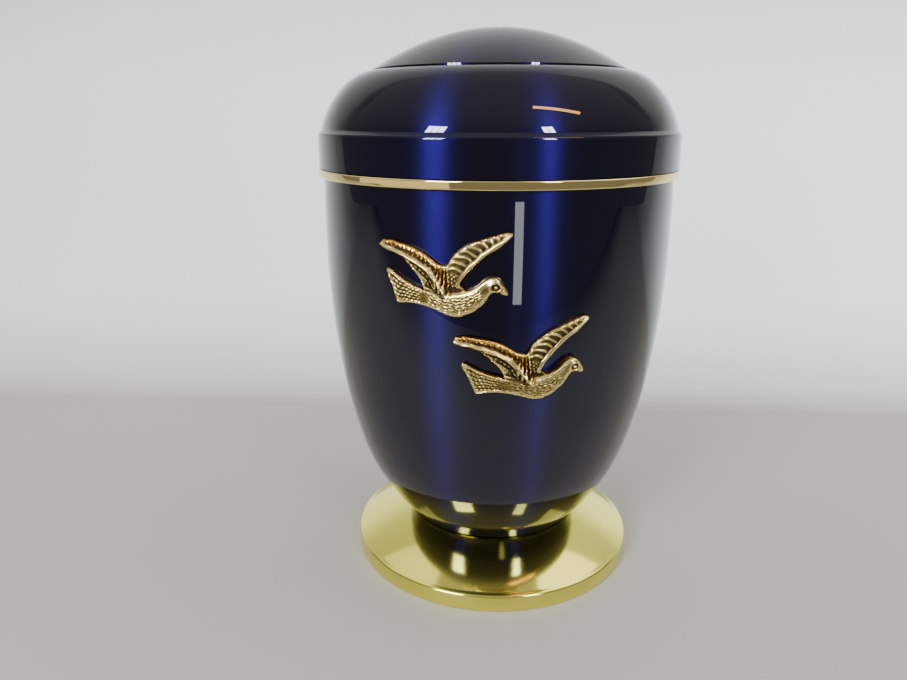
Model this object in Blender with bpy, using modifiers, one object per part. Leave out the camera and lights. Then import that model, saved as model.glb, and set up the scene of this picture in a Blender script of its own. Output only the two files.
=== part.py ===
"""Funeral urn: a spun metal urn with a lift-off lid, a brass trim band, two cast doves and a flared gold base.

Metres, +Z up. The origin is at the middle of the underside, and the doves face -Y.
"""
import math

import bmesh
import bpy
from mathutils import Vector

MM = 0.001

# Fits and walls
TOUCH_GAP = 0.3 * MM
BODY_WALL = 1.2 * MM
LID_WALL = 1.2 * MM
LEDGE_WIDTH = 1.1 * MM
LID_CLEARANCE = 2.2 * MM
BAND_OVERHANG = 0.7 * MM

# Mesh fineness
TURN_STEPS = 48
SHARP_ANGLE = 32
BODY_ROWS = 11
BODY_ROW_CROWDING = 1.25
FLARE_ROWS = 5
DOME_ROWS = 5
SHOULDER_ROWS = 6
EDGE_ROWS = 2

# Body, with heights counted from its own floor and depths from its mouth
BODY_FLOOR_RADIUS = 48.4 * MM
BODY_FLOOR_ROUND = 1.5 * MM
BODY_HEIGHT = 193.0 * MM
BODY_MOUTH_RADIUS = 92.0 * MM
BODY_BULGE = 0.3 * MM
BODY_WIDEST_DEPTH = 29.0 * MM
BODY_NECK_HEIGHT = 13.0 * MM
# How the side swells from the floor to the widest place: shares of the height and of the swelling.
BODY_SWELL = ((0.0, 0.0), (0.09, 0.27), (0.22, 0.555), (0.41, 0.772), (0.60, 0.901), (0.80, 0.98), (1.0, 1.0))

# Flared base, whose seat lies a little inside the body's floor
BASE_RADIUS = 81.0 * MM
BASE_RIM_HEIGHT = 9.6 * MM
BASE_FLARE_HEIGHT = 14.4 * MM
BASE_SEAT_INSET = 0.8 * MM
BASE_EDGE_ROUND = 1.8 * MM
BASE_EDGE_ROUND_START = 60
BASE_FOOT_CHAMFER = 0.8 * MM
# The flare is a cone that bulges a little: how much less than half it has dropped at half the way out.
BASE_FLARE_BULGE = 0.07

# Trim band between the body and the lid
BAND_HEIGHT = 4.1 * MM
BAND_EDGE_ROUND = 0.6 * MM

# Lid, from its skirt up: each stretch starts where the one before it ends
LID_SKIRT_HEIGHT = 17.8 * MM
LID_SKIRT_ROUND = 1.5 * MM
LID_SKIRT_ROUND_START = 65
LID_STEP_RISE = 1.2 * MM
LID_STEP_INSET = 2.1 * MM
LID_SHOULDER_RISE = 28.0 * MM
LID_DOME_STEP = 0.8 * MM
LID_DOME_RADIUS = 65.5 * MM
LID_DOME_RISE = 20.6 * MM
# The shoulder's quarter curve: how square it is on its side and on its top.
LID_SHOULDER_SIDE_POWER = 1.9
LID_SHOULDER_TOP_POWER = 1.35

# Doves: both are one casting, on a plate that bends round the body. A rise is over the plate, and a reach
# is how far in from the outline it is complete. A turn is counted from the front, to the right.
DOVE_SPAN = 61.3 * MM
DOVE_PLATE = 1.2 * MM
DOVE_BODY_RISE = 3.4 * MM
DOVE_BODY_REACH = 5.5 * MM
DOVE_WING_RISE = 1.5 * MM
DOVE_WING_REACH = 3.0 * MM
DOVE_TAIL_RISE = 0.7 * MM
DOVE_TAIL_REACH = 2.0 * MM
DOVE_MESH_STEP = 3.5 * MM
DOVE_UPPER_TURN = -12.7
DOVE_UPPER_DEPTH = 36.7 * MM
DOVE_UPPER_TILT = 0.0
DOVE_LOWER_TURN = 10.0
DOVE_LOWER_DEPTH = 76.6 * MM
DOVE_LOWER_TILT = 3.2

# The dove's outlines, seen from the front with its breast to the right, in steps that make its span 61.3.
DOVE_DRAWN_SPAN = 61.3
DOVE_BODY_OUTLINE = (
    (26.4, -6.7), (25.1, -3.9), (23.4, -1.3), (21.7, 0.4), (19.5, 1.0), (17.5, 0.5), (15.5, -0.8),
    (13.2, -2.9), (10.7, -4.4), (8.1, -5.3), (4.0, -5.8), (-4.0, -6.8), (-13.0, -8.2), (-18.0, -9.2),
    (-17.5, -13.2), (-8.4, -15.0), (-3.7, -16.5), (0.4, -18.0), (4.0, -18.6), (6.2, -18.3), (10.4, -16.4),
    (13.8, -14.1), (16.6, -11.3), (18.4, -8.2), (20.2, -6.8), (23.1, -7.5), (25.7, -8.2),
)
DOVE_TAIL_OUTLINE = (
    (-30.5, 0.1), (-29.9, 1.2), (-28.3, 1.1), (-21.9, -2.6), (-17.0, -4.6), (-13.0, -5.8), (-6.0, -7.6),
    (-6.0, -15.1), (-12.2, -14.3), (-17.2, -13.9), (-23.9, -14.6), (-25.0, -14.0), (-27.9, -6.0),
)
DOVE_LEFT_WING_OUTLINE = (
    (-33.6, 12.0), (-33.0, 13.4), (-31.5, 14.3), (-26.8, 14.3), (-21.6, 13.2), (-16.6, 12.0), (-11.9, 10.1),
    (-5.0, 5.7), (-1.6, 4.7), (0.6, 1.6), (3.4, -7.2), (-3.0, -9.5), (-11.6, -6.7), (-13.1, -2.3),
    (-17.6, 2.9), (-20.1, 5.6), (-23.2, 7.3), (-30.3, 9.2), (-32.6, 10.3),
)
DOVE_RIGHT_WING_OUTLINE = (
    (27.7, 19.0), (26.6, 19.8), (24.6, 19.7), (20.7, 18.6), (12.5, 15.9), (8.3, 14.0), (4.8, 11.7), (1.3, 8.3),
    (-0.3, 5.4), (-1.6, 2.0), (-1.0, -7.4), (5.4, -7.8), (5.8, -3.9), (6.4, -2.0), (10.0, 2.6), (13.0, 5.7),
    (17.2, 9.5), (21.7, 12.3), (27.5, 17.7),
)


def clear_scene():
    """Removes what the file opened with."""
    for item in list(bpy.data.objects):
        bpy.data.objects.remove(item, do_unlink=True)


def collection(name):
    """A collection of its own under the scene's."""
    made = bpy.data.collections.new(name)
    bpy.context.scene.collection.children.link(made)
    return made


def metal(name, colour, roughness, coat=0.0):
    """A Principled material of one colour."""
    made = bpy.data.materials.new(name)
    made.use_nodes = True
    shader = made.node_tree.nodes["Principled BSDF"]
    shader.inputs["Base Color"].default_value = (*colour, 1.0)
    shader.inputs["Metallic"].default_value = 1.0
    shader.inputs["Roughness"].default_value = roughness
    shader.inputs["Coat Weight"].default_value = coat
    return made


def smooth_shading(mesh):
    """Round surfaces are smooth and their edges stay crisp."""
    mesh.shade_smooth()
    mesh.set_sharp_from_angle(angle=math.radians(SHARP_ANGLE))


def arc(centre, radius, start, end, count):
    """Points on an arc of a profile, from one angle to the other in degrees, with both ends."""
    points = []
    for step in range(count + 1):
        angle = math.radians(start + (end - start) * step / count)
        points.append((centre[0] + radius * math.cos(angle), centre[1] + radius * math.sin(angle)))
    return points


def smooth_share(stations, share):
    """A smooth curve through stations of (share, value), read at one share."""
    last = len(stations) - 1
    place = 0
    while place < last - 1 and share > stations[place + 1][0]:
        place += 1
    start, end = stations[place], stations[place + 1]

    def slope(index):
        before, after = stations[max(index - 1, 0)], stations[min(index + 1, last)]
        return (after[1] - before[1]) / (after[0] - before[0])

    width = end[0] - start[0]
    t = min(max((share - start[0]) / width, 0.0), 1.0)
    rise_in = slope(place) * width
    rise_out = (0.0 if place + 1 == last else slope(place + 1)) * width
    return ((2 * t**3 - 3 * t**2 + 1) * start[1] + (t**3 - 2 * t**2 + t) * rise_in
            + (3 * t**2 - 2 * t**3) * end[1] + (t**3 - t**2) * rise_out)


# Places that the sizes give
BASE_TOP = BASE_RIM_HEIGHT + BASE_FLARE_HEIGHT
BASE_SEAT_RADIUS = BODY_FLOOR_RADIUS - BASE_SEAT_INSET
BODY_BOTTOM = BASE_TOP + TOUCH_GAP
BODY_MOUTH = BODY_BOTTOM + BODY_HEIGHT
BODY_WIDEST = BODY_MOUTH - BODY_WIDEST_DEPTH
BODY_WIDEST_RADIUS = BODY_MOUTH_RADIUS + BODY_BULGE
BODY_SIDE_RADIUS = BODY_FLOOR_RADIUS + BODY_FLOOR_ROUND
BODY_SIDE_START = BODY_BOTTOM + BODY_FLOOR_ROUND / 2
NECK_RADIUS = BODY_MOUTH_RADIUS - LEDGE_WIDTH
BAND_BOTTOM = BODY_MOUTH + TOUCH_GAP
BAND_TOP = BAND_BOTTOM + BAND_HEIGHT
LID_BOTTOM = BAND_TOP + TOUCH_GAP
LID_RADIUS = NECK_RADIUS + LID_CLEARANCE + LID_WALL
BAND_RADIUS = LID_RADIUS + BAND_OVERHANG
LID_SKIRT_TOP = LID_BOTTOM + LID_SKIRT_HEIGHT
LID_SHOULDER_START = LID_SKIRT_TOP + LID_STEP_RISE
LID_SHOULDER_RADIUS = LID_RADIUS - LID_STEP_INSET
LID_DOME_START = LID_SHOULDER_START + LID_SHOULDER_RISE + LID_DOME_STEP


def body_radius(height):
    """The body's outer radius at a height over the ground."""
    if height <= BODY_WIDEST:
        share = (height - BODY_SIDE_START) / (BODY_WIDEST - BODY_SIDE_START)
        return BODY_SIDE_RADIUS + (BODY_WIDEST_RADIUS - BODY_SIDE_RADIUS) * smooth_share(BODY_SWELL, share)
    share = min((height - BODY_WIDEST) / BODY_WIDEST_DEPTH, 1.0)
    return BODY_WIDEST_RADIUS - BODY_BULGE * share * share


def turned(name, profile, material, owner, closed=False, wall=0.0):
    """A shape turned round the Z axis from a profile of (radius, height) that runs down its outer side.

    A closed profile makes a ring. With a wall, the profile is a shell's outer face, and the wall goes inwards.
    """
    mesh = bpy.data.meshes.new(name)
    edges = [(index, index + 1) for index in range(len(profile) - 1)]
    if closed:
        edges.append((len(profile) - 1, 0))
    mesh.from_pydata([(radius, 0.0, height) for radius, height in profile], edges, [])
    made = bpy.data.objects.new(name, mesh)
    owner.objects.link(made)
    mesh.materials.append(material)
    screw = made.modifiers.new("Turn", "SCREW")
    screw.steps = TURN_STEPS
    screw.render_steps = TURN_STEPS
    screw.use_merge_vertices = True
    screw.merge_threshold = 0.00001
    if wall:
        solidify = made.modifiers.new("Wall", "SOLIDIFY")
        solidify.thickness = wall
        solidify.offset = -1.0
        solidify.use_even_offset = True
    return made


def make_base(owner):
    """The gold base: an upright rim, a rounded edge and a flare that rises to the body's seat."""
    edge_start = BASE_RADIUS - BASE_EDGE_ROUND
    flare = []
    for row in range(FLARE_ROWS + 1):
        out = row / FLARE_ROWS
        down = out - 4 * BASE_FLARE_BULGE * out * (1 - out)
        radius = BASE_SEAT_RADIUS + (edge_start - BASE_SEAT_RADIUS) * out
        flare.append((radius, BASE_TOP - BASE_FLARE_HEIGHT * down))
    edge = arc((edge_start, BASE_RIM_HEIGHT - BASE_EDGE_ROUND), BASE_EDGE_ROUND, BASE_EDGE_ROUND_START, 0, EDGE_ROWS)
    foot = [(BASE_RADIUS, BASE_FOOT_CHAMFER), (BASE_RADIUS - BASE_FOOT_CHAMFER, 0.0), (0.0, 0.0)]
    profile = [(0.0, BASE_TOP)] + flare + edge + foot
    return turned("base", profile, metal("Gold", (0.80, 0.62, 0.22), 0.14), owner)


def make_body(owner):
    """The lacquered body: a shell, open at its neck, with a ledge that the trim band sits on."""
    neck_top = BODY_MOUTH + BODY_NECK_HEIGHT
    ledge = [(NECK_RADIUS, neck_top), (NECK_RADIUS, BODY_MOUTH), (BODY_MOUTH_RADIUS, BODY_MOUTH)]
    side = []
    for row in range(1, BODY_ROWS + 1):
        # The rows lie closer together where the side curves in to its floor.
        height = BODY_SIDE_START + (BODY_MOUTH - BODY_SIDE_START) * (1 - row / BODY_ROWS) ** BODY_ROW_CROWDING
        side.append((body_radius(height), height))
    floor = [(BODY_FLOOR_RADIUS, BODY_BOTTOM), (0.0, BODY_BOTTOM)]
    lacquer = metal("Blue lacquer", (0.012, 0.018, 0.12), 0.30, 1.0)
    return turned("body", ledge + side + floor, lacquer, owner, wall=BODY_WALL)


def make_band(owner):
    """The polished brass band that lies round the neck, under the lid's edge."""
    inner = NECK_RADIUS + TOUCH_GAP
    flat = BAND_RADIUS - BAND_EDGE_ROUND
    profile = [
        (inner, BAND_TOP), (flat, BAND_TOP), (BAND_RADIUS, BAND_TOP - BAND_EDGE_ROUND),
        (BAND_RADIUS, BAND_BOTTOM + BAND_EDGE_ROUND), (flat, BAND_BOTTOM), (inner, BAND_BOTTOM),
    ]
    return turned("trim_band", profile, metal("Brass", (0.83, 0.62, 0.27), 0.08), owner, closed=True)


def make_lid(owner):
    """The lid: an upright skirt, a rounded shoulder and a low dome on it, each set back by a small step."""
    dome = []
    for row in range(DOME_ROWS + 1):
        out = row / DOME_ROWS
        dome.append((LID_DOME_RADIUS * out, LID_DOME_START + LID_DOME_RISE * (1 - out * out)))
    shoulder = []
    for row in range(SHOULDER_ROWS + 1):
        angle = math.radians(90 * (1 - row / SHOULDER_ROWS))
        out = math.cos(angle) ** (2 / LID_SHOULDER_SIDE_POWER)
        rise = math.sin(angle) ** (2 / LID_SHOULDER_TOP_POWER)
        radius = LID_DOME_RADIUS + (LID_SHOULDER_RADIUS - LID_DOME_RADIUS) * out
        shoulder.append((radius, LID_SHOULDER_START + LID_SHOULDER_RISE * rise))
    corner = (LID_RADIUS - LID_SKIRT_ROUND, LID_SKIRT_TOP - LID_SKIRT_ROUND)
    skirt = arc(corner, LID_SKIRT_ROUND, LID_SKIRT_ROUND_START, 0, EDGE_ROWS) + [(LID_RADIUS, LID_BOTTOM)]
    lacquer = metal("Lid lacquer", (0.012, 0.018, 0.12), 0.30, 1.0)
    return turned("lid", dome + shoulder + skirt, lacquer, owner, wall=LID_WALL)


def inside_depth(point, outline):
    """How far a point lies inside an outline, as the distance to its nearest side."""
    nearest = math.inf
    for start, end in zip(outline, outline[1:] + outline[:1]):
        side = end - start
        share = min(max((point - start).dot(side) / side.length_squared, 0.0), 1.0)
        nearest = min(nearest, (point - start - side * share).length)
    return nearest


def cushion(name, outline, rise, reach):
    """A closed plate with a flat back and a crowned front, which rises over a reach in from its outline."""
    flat = [Vector(point) * DOVE_SPAN / DOVE_DRAWN_SPAN for point in outline]
    shape = bmesh.new()
    shape.faces.new([shape.verts.new((point.x, point.y, 0.0)) for point in flat])
    for axis in range(2):
        place = min(point[axis] for point in flat) + DOVE_MESH_STEP
        while place < max(point[axis] for point in flat) - DOVE_MESH_STEP / 2:
            spot, normal = Vector((0, 0, 0)), Vector((0, 0, 0))
            spot[axis], normal[axis] = place, 1.0
            everything = shape.verts[:] + shape.edges[:] + shape.faces[:]
            bmesh.ops.bisect_plane(shape, geom=everything, plane_co=spot, plane_no=normal, dist=0.02 * MM)
            place += DOVE_MESH_STEP
    bmesh.ops.triangulate(shape, faces=shape.faces[:])
    bmesh.ops.solidify(shape, geom=shape.faces[:], thickness=DOVE_PLATE)
    bmesh.ops.recalc_face_normals(shape, faces=shape.faces[:])
    middle = sum(vert.co.z for vert in shape.verts) / len(shape.verts)
    for vert in shape.verts:
        if vert.co.z < middle:
            vert.co.z = 0.0
            continue
        share = min(inside_depth(vert.co.xy, flat) / reach, 1.0)
        vert.co.z = DOVE_PLATE + rise * share * (2 - share)
    mesh = bpy.data.meshes.new(name)
    shape.to_mesh(mesh)
    shape.free()
    return mesh


def make_dove(name, turn, depth, tilt, owner, cutters, material):
    """A cast dove on the body's side: its body, tail and wings joined in one, and bent round the urn."""
    dove = bpy.data.objects.new(name, cushion(name, DOVE_BODY_OUTLINE, DOVE_BODY_RISE, DOVE_BODY_REACH))
    owner.objects.link(dove)
    others = (
        ("tail", DOVE_TAIL_OUTLINE, DOVE_TAIL_RISE, DOVE_TAIL_REACH),
        ("left_wing", DOVE_LEFT_WING_OUTLINE, DOVE_WING_RISE, DOVE_WING_REACH),
        ("right_wing", DOVE_RIGHT_WING_OUTLINE, DOVE_WING_RISE, DOVE_WING_REACH),
    )
    for part, outline, rise, reach in others:
        tool = bpy.data.objects.new(f"{name}_{part}", cushion(f"{name}_{part}", outline, rise, reach))
        cutters.objects.link(tool)
        tool.hide_render = True
        tool.display_type = "WIRE"
        union = dove.modifiers.new(part, "BOOLEAN")
        union.operation = "UNION"
        union.object = tool
    bpy.context.view_layer.update()
    joined = bpy.data.meshes.new_from_object(dove.evaluated_get(bpy.context.evaluated_depsgraph_get()))
    dove.modifiers.clear()
    dove.data = joined
    lean = math.radians(tilt)
    height = BODY_MOUTH - depth
    for vert in joined.vertices:
        across = vert.co.x * math.cos(lean) - vert.co.y * math.sin(lean)
        place = height + vert.co.x * math.sin(lean) + vert.co.y * math.cos(lean)
        radius = body_radius(place) + TOUCH_GAP + vert.co.z
        angle = math.radians(turn) + across / body_radius(height)
        vert.co = (radius * math.sin(angle), -radius * math.cos(angle), place)
    joined.materials.clear()
    joined.materials.append(material)
    smooth_shading(joined)
    return dove


def main():
    """Builds the urn."""
    clear_scene()
    urn = collection("funeral_urn")
    cutters = collection("cutters")
    make_base(urn)
    make_body(urn)
    make_band(urn)
    make_lid(urn)
    antique = metal("Antique brass", (0.42, 0.30, 0.12), 0.42)
    make_dove("dove_upper", DOVE_UPPER_TURN, DOVE_UPPER_DEPTH, DOVE_UPPER_TILT, urn, cutters, antique)
    make_dove("dove_lower", DOVE_LOWER_TURN, DOVE_LOWER_DEPTH, DOVE_LOWER_TILT, urn, cutters, antique)


main()
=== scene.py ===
"""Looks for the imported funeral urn: turned metal under dark blue lacquer, gold and two cast doves."""
from __future__ import annotations

import logging
import math
from collections.abc import Sequence
from dataclasses import dataclass
from enum import Enum

import bpy
import numpy as np
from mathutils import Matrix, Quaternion, Vector


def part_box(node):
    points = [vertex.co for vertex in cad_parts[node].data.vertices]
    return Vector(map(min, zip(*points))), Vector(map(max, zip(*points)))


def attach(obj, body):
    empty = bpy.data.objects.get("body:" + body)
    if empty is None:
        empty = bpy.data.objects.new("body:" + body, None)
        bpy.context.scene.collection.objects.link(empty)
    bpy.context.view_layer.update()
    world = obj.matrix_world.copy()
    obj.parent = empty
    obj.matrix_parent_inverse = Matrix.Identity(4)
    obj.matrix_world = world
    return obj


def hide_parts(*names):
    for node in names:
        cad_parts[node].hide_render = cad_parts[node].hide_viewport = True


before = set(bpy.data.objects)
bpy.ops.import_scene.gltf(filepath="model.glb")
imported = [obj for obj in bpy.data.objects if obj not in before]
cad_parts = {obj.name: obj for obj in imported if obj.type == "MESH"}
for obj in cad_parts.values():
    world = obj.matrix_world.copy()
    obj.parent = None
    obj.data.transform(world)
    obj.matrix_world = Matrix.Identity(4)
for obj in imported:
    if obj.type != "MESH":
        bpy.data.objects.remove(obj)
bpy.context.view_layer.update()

MM = 0.001
log = logging.getLogger("funeral_urn")

Point = tuple[float, float]
Line = tuple[Point, ...]
Colour = tuple[float, float, float]
Value = float | bpy.types.NodeSocket
Inputs = dict[str | int, object]


class Slot(Enum):
    """The record's material slots, by what they stand for here."""

    GOLD = "gold"
    LACQUER = "blue_lacquer"
    TRIM = "polished_brass"
    CASTING = "antique_brass"


def select_only(piece: bpy.types.Object) -> None:
    """Makes one object the only selected and the active one.

    Args:
        piece: The object.
    """
    bpy.ops.object.select_all(action="DESELECT")
    piece.select_set(True)
    bpy.context.view_layer.objects.active = piece


def apply_modifiers(piece: bpy.types.Object) -> None:
    """Applies an object's modifiers, in their order.

    Args:
        piece: The object.
    """
    select_only(piece)
    for modifier in list(piece.modifiers):
        bpy.ops.object.modifier_apply(modifier=modifier.name)


def smooth_curve(points: Sequence[Point], each: int = 6, closed: bool = False) -> np.ndarray:
    """A curve through points, with rounded turns.

    Args:
        points: The points that it passes through.
        each: How many pieces each stretch gets.
        closed: Whether it runs back to its first point.

    Returns:
        The curve's points, one row each.
    """
    places = np.array(points, float)
    count = len(places)
    made = []
    for index in range(count if closed else count - 1):
        near = np.arange(index - 1, index + 3)
        before, start, end, after = places[near % count if closed else np.clip(near, 0, count - 1)]
        for t in np.arange(each) / each:
            bend, twist = 2 * before - 5 * start + 4 * end - after, 3 * start - before - 3 * end + after
            made.append(0.5 * (2 * start + (end - before) * t + bend * t**2 + twist * t**3))
    if not closed:
        made.append(places[-1])
    return np.array(made)


def arc(centre: Point, radius: float, start: float, end: float, count: int) -> list[Point]:
    """Points on an arc of a profile.

    Args:
        centre: The arc's centre, as radius and height.
        radius: The arc's own radius.
        start: The first angle in degrees, 0 outwards and 90 up.
        end: The last angle in degrees.
        count: How many pieces it has.

    Returns:
        The points with both ends, as radius and height.
    """
    angles = np.radians(np.linspace(start, end, count + 1))
    return [(centre[0] + radius * math.cos(angle), centre[1] + radius * math.sin(angle)) for angle in angles]


def draw_profile(name: str, points: list[Point], closed: bool = False) -> bpy.types.Object:
    """Draws a profile in the XZ plane: one vertex, extruded from point to point.

    Args:
        name: The new object's name.
        points: The profile as radius and height, down its outer side.
        closed: Whether its last point is joined to its first.

    Returns:
        The object, left in edit mode.
    """
    bpy.ops.object.select_all(action="DESELECT")
    bpy.ops.mesh.primitive_plane_add(size=MM, location=(0, 0, 0))
    piece = bpy.context.object
    piece.name = name
    piece.data.name = name
    bpy.ops.object.mode_set(mode="EDIT")
    bpy.ops.mesh.merge(type="CENTER")
    bpy.ops.transform.translate(value=(points[0][0], 0, points[0][1]))
    for start, end in zip(points, points[1:]):
        move = (end[0] - start[0], 0, end[1] - start[1])
        bpy.ops.mesh.extrude_region_move(TRANSFORM_OT_translate={"value": move})
    bpy.ops.mesh.select_all(action="SELECT")
    if closed:
        bpy.ops.mesh.edge_face_add()
        bpy.ops.mesh.delete(type="ONLY_FACE")
        bpy.ops.mesh.select_all(action="SELECT")
    return piece


def turn_piece(name: str, points: list[Point], steps: int, closed: bool = False) -> bpy.types.Object:
    """Turns a profile round the Z axis.

    Args:
        name: The new object's name.
        points: The profile as radius and height, down its outer side.
        steps: How many steps go round.
        closed: Whether the profile is a ring's section.

    Returns:
        The turned object, in object mode.
    """
    piece = draw_profile(name, points, closed)
    bpy.ops.mesh.spin(steps=steps, angle=math.tau, center=(0, 0, 0), axis=(0, 0, 1))
    bpy.ops.mesh.select_all(action="SELECT")
    bpy.ops.mesh.remove_doubles(threshold=0.002 * MM)
    bpy.ops.mesh.normals_make_consistent(inside=False)
    bpy.ops.object.mode_set(mode="OBJECT")
    return piece


def read_points(mesh: bpy.types.Mesh) -> np.ndarray:
    """Reads a mesh's points.

    Args:
        mesh: The mesh.

    Returns:
        The points, one row each.
    """
    places = np.empty(len(mesh.vertices) * 3)
    mesh.vertices.foreach_get("co", places)
    return places.reshape(-1, 3)


def write_points(mesh: bpy.types.Mesh, places: np.ndarray) -> None:
    """Moves a mesh's points to new places, one row each."""
    mesh.vertices.foreach_set("co", places.ravel())
    mesh.update()


def give_wall(piece: bpy.types.Object, wall: float) -> None:
    """Gives an open turned skin its wall, inwards, with the second finish on the inside.

    Args:
        piece: The skin.
        wall: The wall's thickness in metres.
    """
    solidify = piece.modifiers.new("Wall", "SOLIDIFY")
    solidify.thickness = wall
    solidify.offset = -1.0
    solidify.use_even_offset = True
    solidify.material_offset = 1
    apply_modifiers(piece)


def shade(piece: bpy.types.Object, angle: float) -> None:
    """Shades an object smooth, with edges over an angle in degrees kept crisp."""
    select_only(piece)
    bpy.ops.object.shade_smooth_by_angle(angle=math.radians(angle))


def hand_over(piece: bpy.types.Object, node: str) -> None:
    """Puts a finished piece in the place of its CAD node.

    Args:
        piece: The finished piece.
        node: The node that it stands for.
    """
    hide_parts(node)
    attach(piece, "root")
    log.info("%s: %d faces, in place of %s", piece.name, len(piece.data.polygons), node)


class Nodes:
    """A node tree, with short ways to add and join its nodes."""

    def __init__(self, tree: bpy.types.NodeTree) -> None:
        """Works on a node tree."""
        self.tree = tree

    def fill(self, node: bpy.types.Node, given: Inputs) -> None:
        """Fills in a node's inputs.

        Args:
            node: The node.
            given: Its inputs by name or number. A socket is linked, and a value is set.
        """
        for key, value in given.items():
            if isinstance(value, bpy.types.NodeSocket):
                self.tree.links.new(value, node.inputs[key])
            else:
                node.inputs[key].default_value = value

    def add(self, kind: str, given: Inputs | None = None, **settings: object) -> bpy.types.Node:
        """Adds a node, sets its properties and fills in its inputs.

        Args:
            kind: The node's type.
            given: Its inputs, as for fill.
            settings: Its properties by name.

        Returns:
            The node.
        """
        node = self.tree.nodes.new(kind)
        for key, value in settings.items():
            setattr(node, key, value)
        self.fill(node, given or {})
        return node

    def calculate(self, operation: str, *values: Value) -> bpy.types.NodeSocket:
        """Adds a sum on sockets and numbers, and returns its result."""
        return self.add("ShaderNodeMath", dict(enumerate(values)), operation=operation).outputs[0]

    def place(self) -> bpy.types.NodeSocket:
        """The place on the piece, in its own coordinates."""
        return self.add("ShaderNodeTexCoord").outputs["Object"]

    def noise(self, scale: float, detail: float = 2.0) -> bpy.types.NodeSocket:
        """A cloudy pattern through the piece, at a scale and with a level of detail."""
        given = {"Vector": self.place(), "Scale": scale, "Detail": detail}
        return self.add("ShaderNodeTexNoise", given).outputs["Fac"]

    def mapped(self, source: bpy.types.NodeSocket, start: Point, end: Point = (0.0, 1.0),
               curve: str = "LINEAR") -> bpy.types.NodeSocket:
        """Maps one range of values onto another.

        Args:
            source: What is mapped.
            start: The range that it has.
            end: The range that it gets.
            curve: How it runs between them.

        Returns:
            The mapped value.
        """
        given = {"Value": source, "From Min": start[0], "From Max": start[1],
                 "To Min": end[0], "To Max": end[1]}
        return self.add("ShaderNodeMapRange", given, interpolation_type=curve).outputs["Result"]

    def ramp(self, source: bpy.types.NodeSocket,
             stops: Sequence[tuple[float, Colour]]) -> bpy.types.NodeSocket:
        """Turns a value into a colour.

        Args:
            source: The value.
            stops: Two or more places and their colours, from low to high.

        Returns:
            The colour.
        """
        node = self.add("ShaderNodeValToRGB", {"Fac": source})
        elements = node.color_ramp.elements
        for element, (position, colour) in zip(elements, (stops[0], stops[-1])):
            element.position, element.color = position, (*colour, 1.0)
        for position, colour in stops[1:-1]:
            elements.new(position).color = (*colour, 1.0)
        return node.outputs["Color"]


class MaterialNodes(Nodes):
    """The node tree of a new material, with its Principled shader."""

    def __init__(self, name: str) -> None:
        """Starts the material.

        Args:
            name: Its name.
        """
        self.material = bpy.data.materials.new(name)
        self.material.use_nodes = True
        super().__init__(self.material.node_tree)
        self.shader = self.tree.nodes["Principled BSDF"]

    def marked(self, marks: bpy.types.NodeTree, **values: float) -> Inputs:
        """Adds the turning marks.

        Args:
            marks: Their group.
            values: Its inputs by name.

        Returns:
            The shader's inputs that they drive.
        """
        rings = self.add("ShaderNodeGroup", values, node_tree=marks).outputs
        return {name: rings[name] for name in ("Roughness", "Normal")}


def scaled(colour: Colour, share: float) -> Colour:
    """A colour times a share."""
    return tuple(share * part for part in colour)


def turning_marks() -> bpy.types.NodeTree:
    """The fine rings that a lathe leaves, as a group used by every turned finish.

    Returns:
        The group. Its inputs are Fineness, in rings a metre, Depth, Roughness and Spread, and it puts out
        a Roughness and a Normal.
    """
    tree = bpy.data.node_groups.new("Turning marks", "ShaderNodeTree")
    for name in ("Fineness", "Depth", "Roughness", "Spread"):
        tree.interface.new_socket(name=name, in_out="INPUT", socket_type="NodeSocketFloat")
    tree.interface.new_socket(name="Roughness", in_out="OUTPUT", socket_type="NodeSocketFloat")
    tree.interface.new_socket(name="Normal", in_out="OUTPUT", socket_type="NodeSocketVector")
    made = Nodes(tree)
    given = made.add("NodeGroupInput").outputs
    split = made.add("ShaderNodeSeparateXYZ", {0: made.place()}).outputs
    flat = made.add("ShaderNodeCombineXYZ", {"X": split["X"], "Y": split["Y"]}).outputs[0]
    radius = made.add("ShaderNodeVectorMath", {0: flat}, operation="LENGTH").outputs["Value"]
    across = made.calculate("MULTIPLY", made.calculate("SUBTRACT", split["Z"], radius), given["Fineness"])
    rings = made.add("ShaderNodeTexNoise", {"W": across, "Scale": 1.0, "Detail": 4.0}, noise_dimensions="1D")
    height = rings.outputs["Fac"]
    middle = made.calculate("SUBTRACT", height, 0.5)
    rough = made.calculate("MULTIPLY_ADD", middle, given["Spread"], given["Roughness"])
    bump = made.add("ShaderNodeBump", {"Strength": given["Depth"], "Distance": 0.05 * MM, "Height": height})
    made.add("NodeGroupOutput", {"Roughness": rough, "Normal": bump.outputs[0]})
    return tree


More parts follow.
